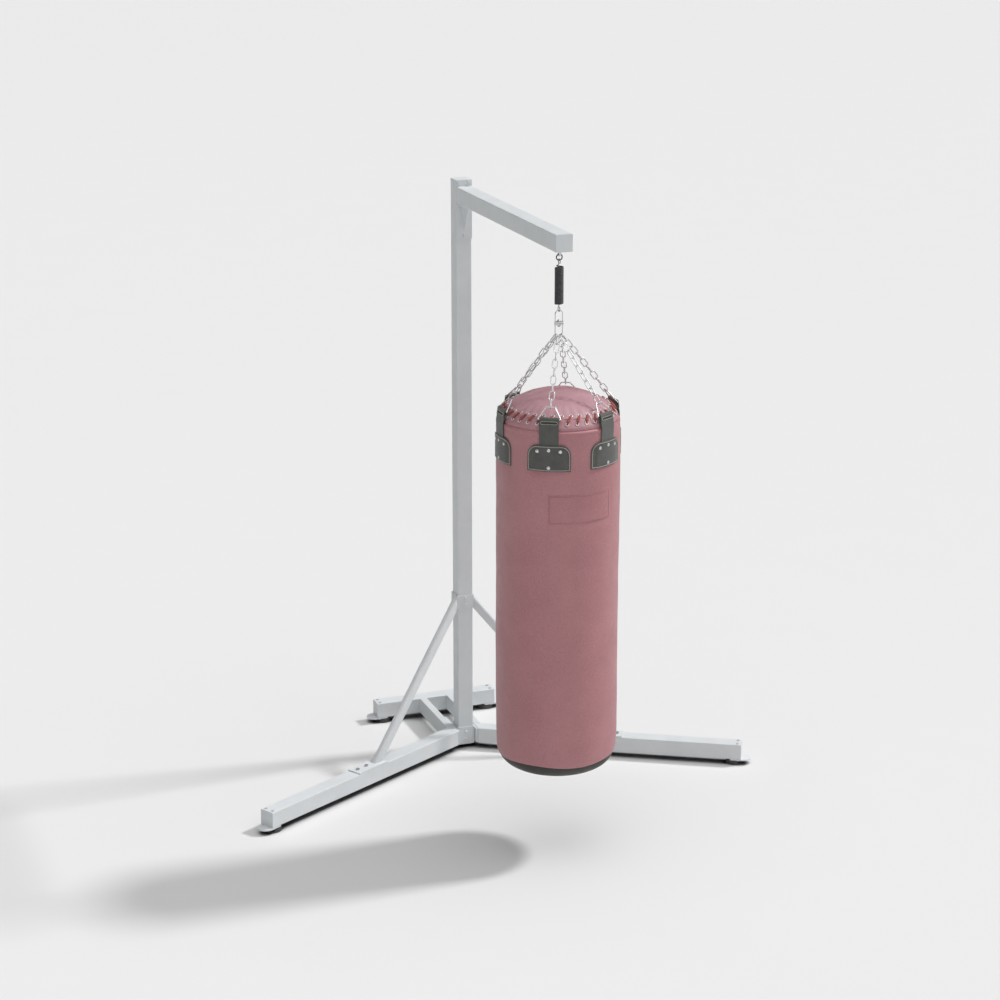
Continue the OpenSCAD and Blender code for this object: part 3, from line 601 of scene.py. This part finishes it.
def eyelet_angle(k, offset):
    """the angle of eyelet k in the row with that offset"""
    return 360 / EYELETS * (k + offset)


def at_eyelet(p, offset):
    """1 at the angle of an eyelet, 0 half-way between two"""
    return 0.5 + 0.5 * math.cos(2 * math.pi * (angle_of(p) * EYELETS / 360 - offset))


# the cover is sewn from two pieces along a straight seam, given by two points on it
SEAM_FROM = Vector((0.0636, -0.1247))
SEAM_TO = Vector((-0.072, -0.0415))


def seam_side(x, y):
    """distance from the cover's seam, positive behind it"""
    along = (SEAM_TO - SEAM_FROM).normalized()
    return (Vector((x, y - HANG_Y)) - SEAM_FROM).dot(Vector((-along.y, along.x)))


def top_cover():
    """the domed cover: two sewn pieces, drawn down at each eyelet, with soft hollows between"""
    rings, n = 34, RIM_COLUMNS
    verts = [Vector((0, HANG_Y, CREST_Z))]
    for i in range(1, rings + 1):
        r = COVER_R * (i / rings) ** 0.9
        verts += [polar(360 * s / n, r, cover_z(r)) for s in range(n)]
    for p in verts:
        r = reach(p)
        p.z += 0.0016 * (0.4 - at_eyelet(p, COVER_OFFSET)) * smooth(r, 0.095, 0.140)
        dip = noise.noise(Vector((p.x * 14, p.y * 14, 3.0)))
        dip += 0.5 * noise.noise(Vector((p.x * 30, p.y * 30, 8.0)))
        p.z += 0.0024 * dip * (1 - smooth(r, 0.105, 0.145))
        side = seam_side(p.x, p.y)
        p.z += 0.0011 * smooth(side, -0.0016, 0.0006) - 0.0012 * math.exp(-(side / 0.0035) ** 2)
    faces = [[0, 1 + s, 1 + (s + 1) % n] for s in range(n)]
    for i in range(rings - 1):
        a, b = 1 + i * n, 1 + (i + 1) * n
        faces += [[a + s, b + s, b + (s + 1) % n, a + (s + 1) % n] for s in range(n)]
    obj = piece("bag_top_cover", (verts, faces), COVER_SKIN_LIT, "bag", ["top_cover"], sharp=80)

    def held(p):
        r = reach(p)
        eyelet = smooth(at_eyelet(p, COVER_OFFSET), 0.2, 0.85) * smooth(r, 0.130, 0.139)
        return max(eyelet, smooth(r, 0.145, 0.152), 1 - smooth(abs(seam_side(p.x, p.y)), 0.001, 0.005), 0.03)
    settle(obj, held, 1.2, 0.003)
    thicken(obj, LEATHER_T)
    round_edges(obj, 0.0006, 60)
    return obj


def flap_point(t):
    """the flap's section from the crease at 0 to its edge under the cover at 1"""
    points = [(r, RIM_Z + up) for r, up in
              ((0.1672, -0.0060), (0.1690, -0.0022), (0.1709, 0.0020), (0.1692, 0.0092),
               (0.1630, 0.0172), (0.1580, 0.0246), (0.1546, 0.0286), (0.1490, 0.0308))]
    x = t * (len(points) - 1)
    k = min(int(x), len(points) - 2)
    p = [Vector(points[min(max(k + d, 0), len(points) - 1)]) for d in (-1, 0, 1, 2)]
    u = x - k
    return 0.5 * ((2 * p[1]) + (p[2] - p[0]) * u + (2 * p[0] - 5 * p[1] + 4 * p[2] - p[3]) * u * u
                  + (3 * p[1] - p[0] - 3 * p[2] + p[3]) * u ** 3)


def flap():
    """the sloping flap that carries the outer eyelets, puckered a little by the lace"""
    steps = 20
    verts, faces = lathe([tuple(flap_point(k / steps)) for k in range(steps + 1)], RIM_COLUMNS)
    for p in verts:
        free = smooth(p.z, RIM_Z + 0.001, RIM_Z + 0.010) * smooth(reach(p), 0.1540, 0.1590)
        p.z += (0.0010 * (0.3 - at_eyelet(p, FLAP_OFFSET)) + 0.0008 * noise.noise(p * 30)) * free
    obj = piece("bag_flap", (verts, faces), FLAP_SKIN_LIT, "bag", sharp=80)
    thicken(obj, FLAP_T)


def base_cup():
    """the dark base: a cup with a broad round edge, a seam ring underneath and a slight belly"""
    wall, low, columns = BASE_R - 0.0025, BASE_Z - 0.004, 160
    profile = [(wall - 0.003, LIP_Z + 0.007), (wall - 0.0008, LIP_Z + 0.004)]
    profile += [(wall - BASE_ROUND_W + BASE_ROUND_W * math.cos(a), LIP_Z - (LIP_Z - low) * math.sin(a))
                for a in (math.radians(d) for d in range(0, 90, 5))]
    profile += [(BASE_SEAM_R + out, low + up) for out, up in
                ((0.003, 0.0004), (0.001, 0.0022), (-0.001, 0.0022), (-0.003, 0.0006))]
    profile += [(0.06, low + 0.0001), (0.02, low)]
    verts, faces = lathe(profile, columns)
    centre = len(verts)
    verts.append(Vector((0, HANG_Y, low)))
    n = len(profile)
    faces += [[centre, s * n + n - 1, (s + 1) % columns * n + n - 1] for s in range(columns)]
    for p in verts:
        belly = noise.noise(Vector((p.x * 20, p.y * 20, 1.0))) + 0.6
        p.z += 0.0009 * belly * (1 - smooth(reach(p), 0.07, 0.10))
    obj = piece("bag_base_cup", (verts, faces), BASE_SKIN, "bag", ["bag_base"], sharp=80)
    thicken(obj, BASE_T)


# ---- stitches ----

def on_loop(points):
    """a function that gives the place at a distance along a closed path, and the path's length"""
    ring = points + points[:1]
    marks = [0.0]
    for a, b in zip(ring, ring[1:]):
        marks.append(marks[-1] + (b - a).length)

    def place(d):
        d = min(max(d, 0.0), marks[-1])
        k = int(np.searchsorted(marks, d, "right")) - 1
        k = min(k, len(ring) - 2)
        return ring[k].lerp(ring[k + 1], (d - marks[k]) / max(marks[k + 1] - marks[k], 1e-9))
    return place, marks[-1]


def stitches(points, length, gap, r):
    """a row of short threads along a closed path on the bag's side"""
    place, total = on_loop(points)
    count = round(total / (length + gap))
    pitch = total / count
    section = ring_section(r, 6, 0.8)
    parts = []
    for k in range(count):
        line = []
        for t, lift in ((0.0, -0.9), (0.12, 0.1), (0.5, 0.45), (0.88, 0.1), (1.0, -0.9)):
            p = place(pitch * k + gap / 2 + length * t)
            line.append(p + outward(p) * (lift * r))
        parts.append(sweep(line, section))
    return parts


# ---- straps, patches and label ----

def patch_half_width(z):
    """half the patch's width at a height: straight sides and two round upper corners"""
    over = z - (PATCH_Z1 - PATCH_CORNER)
    if over <= 0:
        return PATCH_W / 2
    return PATCH_W / 2 - PATCH_CORNER + math.sqrt(max(PATCH_CORNER ** 2 - over ** 2, 0.0))


def patch_radius(across, z):
    """the patch's outer face: it stands over the strap and lies on the bag beside it"""
    over = 1 - smooth(abs(across), 0.040, 0.054)
    over *= smooth(z, PATCH_Z0, PATCH_Z0 + 0.006)
    return PATCH_BESIDE_R + (PATCH_R - PATCH_BESIDE_R) * over


def on_bag(middle, across, r, z):
    """a point at a distance across from the line at the angle middle, bent round the bag"""
    return polar(middle + math.degrees(across / PATCH_R), r, z)


def patch(middle):
    """one curved patch over the foot of a strap"""
    def place(u, v, depth):
        z = PATCH_Z0 + (PATCH_Z1 - PATCH_Z0) * (1 - (1 - v) ** 1.5)
        across = (2 * u - 1) * patch_half_width(z)
        return on_bag(middle, across, patch_radius(across, z) - depth, z)
    return slab(lambda u, v: place(u, v, 0), lambda u, v: place(u, v, PATCH_T), 40, 26)


def patch_border(middle, inset):
    """the patch's outline, drawn in by inset: foot, right side, two round corners and left side"""
    half, corner = PATCH_W / 2 - inset, PATCH_CORNER - inset
    z0, shoulder = PATCH_Z0 + inset, PATCH_Z1 - PATCH_CORNER
    quarter = [math.radians(10 * k) for k in range(10)]
    flat = [(-half + 2 * half * k / 24, z0) for k in range(24)]
    flat += [(half, z0 + (shoulder - z0) * k / 8) for k in range(8)]
    flat += [(half - corner + corner * math.cos(a), shoulder + corner * math.sin(a)) for a in quarter]
    flat += [((half - corner) * (1 - 2 * k / 16), shoulder + corner) for k in range(1, 16)]
    flat += [(-half + corner - corner * math.sin(a), shoulder + corner * math.cos(a)) for a in quarter]
    flat += [(-half, shoulder - (shoulder - z0) * k / 8) for k in range(1, 8)]
    return [on_bag(middle, x, patch_radius(x, z) + 0.0002, z) for x, z in flat]


def strap_line():
    """the strap's middle line as (r, z): up the side, over the ring's bar and down behind"""
    face = BAG_R + 0.0003 + STRAP_T / 2
    turn = RING_WIRE + 0.0012 + STRAP_T / 2
    line = [(face, STRAP_FOOT_Z + (RIM_Z - 0.012 - STRAP_FOOT_Z) * k / 12) for k in range(13)]
    line += [(face + 0.0002, RIM_Z - 0.004), (face - 0.0004, RIM_Z + 0.004), (face - 0.0022, RIM_Z + 0.012)]
    line += [(RING_BAR_R + turn + 0.0022, RIM_Z + 0.021), (RING_BAR_R + turn + 0.0006, RING_BAR_Z - 0.006)]
    line += [(RING_BAR_R + turn * math.cos(a), RING_BAR_Z + turn * math.sin(a))
             for a in (math.radians(d) for d in range(0, 195, 15))]
    line += [(RING_BAR_R - turn + 0.0014, RING_BAR_Z - 0.006), (RING_BAR_R + 0.0012, RING_BAR_Z - 0.012),
             (RING_BAR_R + 0.0024, RING_BAR_Z - 0.018), (RING_BAR_R + 0.0028, RING_BAR_Z - 0.023)]
    return [Vector(p) for p in line]


def strap(middle):
    """one strap: it hugs the round side and flattens above the rim"""
    line = strap_line()
    n = len(line)

    def place(u, v, depth):
        k = round(v * (n - 1))
        p, way = line[k], way_along(line, k)
        across = (u - 0.5) * STRAP_W
        r = p.x + way.y * depth
        z = p.y - way.x * depth
        bent = on_bag(middle, across, r, z)
        straight = polar(middle, r, z) + sideways(middle) * across
        return bent.lerp(straight, smooth(p.y, RIM_Z - 0.05, RIM_Z + 0.004) if v < 0.6 else 1.0)
    return slab(lambda u, v: place(u, v, STRAP_T / 2), lambda u, v: place(u, v, -STRAP_T / 2), 14, n - 1)


def strap_face(z):
    """the strap's outer radius above the rim, at a height"""
    line = strap_line()
    for a, b in zip(line, line[1:]):
        if a.y <= z <= b.y:
            return a.lerp(b, (z - a.y) / (b.y - a.y)).x + STRAP_T / 2
    return line[0].x


def flat_on_strap(middle, across, z, lift):
    """a point on the flat part of a strap's face, or lifted off it"""
    return polar(middle, strap_face(z) + lift, z) + sideways(middle) * across


def slot_loop(middle, half, high, lift):
    """a long rounded loop on the strap's face, just under the ring's bar: half its width, half its height"""
    steps = 8
    loop = []
    for side in (1, -1):
        for k in range(steps + 1):
            a = math.radians(-90 + 180 * k / steps)
            loop.append((side * (half - high + high * math.cos(a)), SLOT_Z + side * high * math.sin(a)))
    full = []
    for (x0, z0), (x1, z1) in zip(loop, loop[1:] + loop[:1]):
        parts = max(1, round(math.hypot(x1 - x0, z1 - z0) / 0.003))
        full += [(x0 + (x1 - x0) * k / parts, z0 + (z1 - z0) * k / parts) for k in range(parts)]
    return [flat_on_strap(middle, x, z, lift) for x, z in full]


def straps():
    """the six straps with their sewn slots, a dark bar of painted shade in each slot, and the sewn patches
    over their feet
    """
    for i, middle in enumerate(STRAP_ANGLES):
        piece(f"strap_web_{i + 1}", strap(middle), CANVAS, "bag", [f"strap_{i + 1}"],
              bevel=0.0005)
    # painted shade: a thin dark bar on each strap's face stands in for the shadow inside its recessed slot
    slit_shades = [sweep(slot_loop(m, 0.0215, 0.0012, 0.0001), ring_section(0.0011, 6), closed=True)
             for m in STRAP_ANGLES]
    piece("strap_slit_shades", joined(slit_shades), BASE_SKIN, "bag")
    rows = []
    for m in STRAP_ANGLES:
        rows += stitches(slot_loop(m, 0.0235, 0.0038, 0.0002), length=0.0040, gap=0.0007, r=0.00095)
    piece("strap_stitches", joined(rows), GREY_THREAD, "bag")
    pads = joined([patch(m) for m in STRAP_ANGLES])
    piece("strap_patch_pads", pads, PATCH_CANVAS, "bag", ["strap_patches"], bevel=0.0007)
    rows = []
    for m in STRAP_ANGLES:
        rows += stitches(patch_border(m, 0.0039), length=0.0044, gap=0.0005, r=0.0012)
    piece("patch_stitches", joined(rows), GREY_THREAD, "bag")


def label():
    """a blank sewn-on panel"""
    z0, z1 = LABEL_LOW.z, LABEL_HIGH.z
    a0, a1 = LABEL_ANGLES

    def place(u, v, depth):
        return polar(a0 + (a1 - a0) * u, LABEL_R - depth, z0 + (z1 - z0) * v)
    shape = slab(lambda u, v: place(u, v, 0), lambda u, v: place(u, v, LABEL_T), 60, 16)
    piece("label_blank", shape, LABEL_SKIN, "bag", ["label_panel"], bevel=0.0004)
    turn = math.degrees(LABEL_INSET / BAG_R)
    left, right, low, high = a0 + turn, a1 - turn, z0 + LABEL_INSET, z1 - LABEL_INSET
    corners = box_corners(left, low, right, high)
    loop = []
    for (p, q), (s, t) in zip(corners, corners[1:] + corners[:1]):
        loop += [polar(p + (s - p) * k / 30, LABEL_R + 0.0001, q + (t - q) * k / 30) for k in range(30)]
    rows = stitches(loop, length=0.0028, gap=0.0012, r=0.0005)
    piece("label_stitches", joined(rows), PINK_THREAD, "bag")


# ---- lace and eyelets ----

def eyelet(angle, row, lean):
    """a domed metal ring set into the leather, which leans outwards there by lean degrees"""
    place, side = polar(angle, *row), sideways(angle)
    up = outward(place) * math.sin(math.radians(lean)) + Vector((0, 0, math.cos(math.radians(lean))))
    across = up.cross(side)
    path = [place + up * 0.0009 + EYELET_R * (side * math.cos(t) + across * math.sin(t))
            for t in (2 * math.pi * s / 20 for s in range(20))]
    return sweep(path, ring_section(EYELET_WIRE, 8), closed=True)


def lace_strand(k, shift):
    """one strand from a flap eyelet, over the cover's edge and down into the next cover eyelet"""
    start = polar(eyelet_angle(k, FLAP_OFFSET), *EYELET_OUT)
    end = polar(eyelet_angle(k, COVER_OFFSET), *EYELET_IN)
    way = (end - start).normalized()
    up = outward(start) * 0.62 + Vector((0, 0, 0.78))
    up = (up - up.dot(way) * way).normalized()
    side = way.cross(up)
    path = []
    for s in range(13):
        t = s / 12
        lift = -0.0030 + 0.0078 * min(1.0, math.sin(math.pi * t) * 1.9)
        spread = shift * (0.45 + 0.55 * math.sin(math.pi * t))
        path.append(start.lerp(end, t) + up * lift + side * spread)
    return sweep(path, ring_section(LACE_WIRE, 8))


def lacing():
    """two strands of lace between each pair of eyelets, and the eyelets"""
    strands = [lace_strand(k, shift) for k in range(EYELETS) for shift in (-LACE_SPREAD, LACE_SPREAD)]
    piece("lace_runs", joined(strands), LACE, "bag", ["lacing"])
    rings = [eyelet(eyelet_angle(k, offset), row, lean) for k in range(EYELETS) for offset, row, lean
             in ((COVER_OFFSET, EYELET_IN, COVER_LEAN), (FLAP_OFFSET, EYELET_OUT, FLAP_LEAN))]
    piece("eyelet_rings", joined(rings), BRIGHT_METAL, "bag", ["eyelets"])


def seam_tab():
    """a thin sewn tab that backs the two pairs of eyelets at the end of the cover's seam"""
    line = [Vector((r, cover_z(r))) for r in (0.1385, 0.1425, 0.1465, 0.1505, 0.1538)]
    line += [flap_point(t) for t in (0.80, 0.73, 0.66, 0.59, 0.52)]
    n = len(line)
    first = eyelet_angle(TABBED_EYELET, FLAP_OFFSET) + TAB_EDGES[0]
    last = eyelet_angle(TABBED_EYELET + 1, FLAP_OFFSET) + TAB_EDGES[1]

    def place(u, v, lift):
        k = round(v * (n - 1))
        way = way_along(line, k)
        p = line[k] + Vector((-way.y, way.x)) * lift
        return polar(first + (last - first) * u, p.x, p.y)
    shape = slab(lambda u, v: place(u, v, 0.0014), lambda u, v: place(u, v, -0.0002), 14, n - 1)
    piece("seam_tab", shape, COVER_SKIN_LIT, "bag", bevel=0.0004)


# ---- spring ----

def spring():
    """one wire: top eye, closed coils and bottom eye"""
    centre_r = SPRING_R - SPRING_WIRE
    top, bottom = SPRING_HIGH.z - SPRING_WIRE, SPRING_LOW.z + SPRING_WIRE
    per_turn = 28
    steps = COIL_TURNS * per_turn
    coil = []
    for k in range(steps + 1):
        a = 2 * math.pi * k / per_turn
        coil.append(Vector((centre_r * math.sin(a), HANG_Y + centre_r * math.cos(a),
                            top + (bottom - top) * k / steps)))

    def eye(node, up):
        """the eye at the top, where up is 1, or at the bottom, where up is -1"""
        low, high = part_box(node)
        z = high.z - HOOK_R - SPRING_WIRE if up > 0 else low.z + HOOK_R + SPRING_WIRE
        edge = top if up > 0 else bottom
        line = [Vector((-up * 0.0032, HANG_Y + centre_r - 0.0008, edge + up * 0.0014)),
                Vector((-up * 0.0036, HANG_Y + centre_r - 0.0046, edge + up * 0.0032)),
                Vector((-up * 0.0012, HANG_Y + 0.0034, edge + up * 0.0058))]
        loop = [Vector((0, HANG_Y + HOOK_R * math.cos(a), z + up * HOOK_R * math.sin(a)))
                for a in (math.radians(d) for d in range(-55, 246, 12))]
        return line + loop
    upper, lower = list(reversed(eye("spring_top_hook", 1))), eye("spring_bottom_hook", -1)
    path = upper + coil + lower
    sizes = [EYE_THIN] * (len(upper) - 1) + [0.9] + [1.0] * len(coil) + [0.9] + [EYE_THIN] * (len(lower) - 1)
    wire = sweep(path, ring_section(SPRING_WIRE * 0.98, 10), sizes=sizes)
    obj = piece("spring_wire", wire, SPRING_STEEL, None,
                ["spring_coil", "spring_top_hook", "spring_bottom_hook"])
    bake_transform(obj)


# ---- welds ----

def weld_bead(corners, r, closed=False):
    """a painted weld: a slightly lumpy bead along straight runs between corners"""
    path = []
    ring = corners + corners[:1] if closed else corners
    for a, b in zip(ring, ring[1:]):
        parts = max(2, round((b - a).length / 0.004))
        path += [a.lerp(b, k / parts) for k in range(parts)]
    if not closed:
        path.append(ring[-1])
    sizes = [1 + 0.22 * noise.noise(p * 240) for p in path]
    return sweep(path, ring_section(r, 8), closed=closed, sizes=sizes)


def welds():
    """beads where the arm, its gusset and the hanging lug are joined"""
    arm_low, arm_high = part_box("arm_tube")
    plate_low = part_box("arm_plate")[0]
    gusset_low, gusset_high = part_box("arm_gusset")
    lug_low, lug_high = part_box("hanger_lug")
    y = plate_low.y
    around = [Vector((x, y, z)) for x, z in box_corners(arm_low.x, arm_low.z, arm_high.x, arm_high.z)]
    tip = Vector((0, y, gusset_low.z))
    under = Vector((0, gusset_low.y, gusset_high.z))
    corners = [Vector((x, y, gusset_high.z)) for x in (gusset_low.x, gusset_high.x)]
    beads = [weld_bead(around, 0.0018, closed=True)]
    beads += [weld_bead([tip, corner, under], 0.0013) for corner in corners]
    lug = [Vector((x, y, lug_high.z)) for x, y in box_corners(lug_low.x, lug_low.y, lug_high.x, lug_high.y)]
    beads.append(weld_bead(lug, 0.0012, closed=True))
    piece("weld_beads", joined(beads), PAINT, "stand")


# ---- finishes of the CAD nodes ----

STAND_PLATES = ["arm_plate", "arm_gusset", "collar_back_plate", "brace_collar", "brace_plate_left",
                "brace_plate_right", "base_bracket", "hub_plates", "column_cap", "arm_end_cap",
                "tube_end_caps", "foot_plates", "hanger_lug"]
FINISHES = [
    (WHITE_PAINT, ["hanger_lug", "foot_plates", "brace_plate_left", "brace_plate_right"]),
    (ZINC, ["swivel_upper_loop", "swivel_lower_loop", "strap_rings", "rivets"]),
    (ZINC, [f"chain_{i}" for i in range(1, 7)]),
    (DARK_METAL, ["brace_plate_bolts", "swivel_bolt", "swivel_washer"]),
    (BOLT_PAINT, ["foot_bolts"]),
    (SPRING_STEEL, ["hanging_ring"]),
    (RUBBER, ["rubber_feet"]),
    (FELT, ["bag_liner"]),
    (RAGS, ["bag_fill"]),
]


def paint_nodes():
    """each CAD node's finish, the pale paint where no other is named, and softer plate edges"""
    finish_of = {name: material for material, names in FINISHES for name in names}
    for name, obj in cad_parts.items():
        obj.data.materials.clear()
        obj.data.materials.append(finish_of.get(name, PAINT))
        if name in STAND_PLATES:
            round_edges(obj, 0.0006, 35)


# ---- studio ----

# each lamp: name, where it comes from, strength, spread in degrees
LAMPS = [("key", Vector((0.90, -0.03, 1.0)), 1.8, 7),
         ("overhead", Vector((0.10, -0.30, 1.0)), 1.91, 90)]
SKY = 0.06
FLOOR_HALF = 70.0

AZIMUTH, ELEVATION = -20.24, 16.72
TARGET = Vector((0, -0.0061, 0.9315))
DISTANCE = 7.746
LENS = 91.67


def studio():
    """a wide pale floor, two sun lamps and a weak white sky"""
    floor = bpy.data.meshes.new("floor")
    corners = box_corners(-FLOOR_HALF, -FLOOR_HALF, FLOOR_HALF, FLOOR_HALF)
    floor.from_pydata([(x, y, 0) for x, y in corners], [], [(0, 1, 2, 3)])
    floor.materials.append(floor_paint("floor_paint"))
    ground = bpy.data.objects.new("floor", floor)
    scene.collection.objects.link(ground)

    for name, source, strength, spread in LAMPS:
        light = bpy.data.lights.new(name, "SUN")
        light.energy = strength
        light.angle = math.radians(spread)
        lamp = bpy.data.objects.new(name, light)
        lamp.rotation_mode = "QUATERNION"
        lamp.rotation_quaternion = source.to_track_quat("Z", "Y")
        scene.collection.objects.link(lamp)

    world = bpy.data.worlds.new("studio")
    world.use_nodes = True
    background = world.node_tree.nodes["Background"]
    background.inputs["Color"].default_value = (1, 1, 1, 1)
    background.inputs["Strength"].default_value = SKY
    scene.world = world
    scene.view_settings.view_transform = "Standard"
    scene.view_settings.look = "None"


def camera():
    """the photograph's view: back is the way from the target to the eye"""
    azimuth, elevation = math.radians(AZIMUTH), math.radians(ELEVATION)
    back = Vector((math.sin(azimuth) * math.cos(elevation), -math.cos(azimuth) * math.cos(elevation),
                   math.sin(elevation)))
    data = bpy.data.cameras.new("camera")
    data.lens, data.sensor_width = LENS, 36
    data.clip_end = 200
    eye = bpy.data.objects.new("camera", data)
    eye.location = TARGET + back * DISTANCE
    eye.rotation_mode = "QUATERNION"
    eye.rotation_quaternion = (-back).to_track_quat("-Z", "Y")
    scene.collection.objects.link(eye)
    scene.camera = eye


camera()
studio()
paint_nodes()
side = side_cover()
cover = top_cover()
flap()
base_cup()
straps()
label()
lacing()
seam_tab()
spring()
welds()
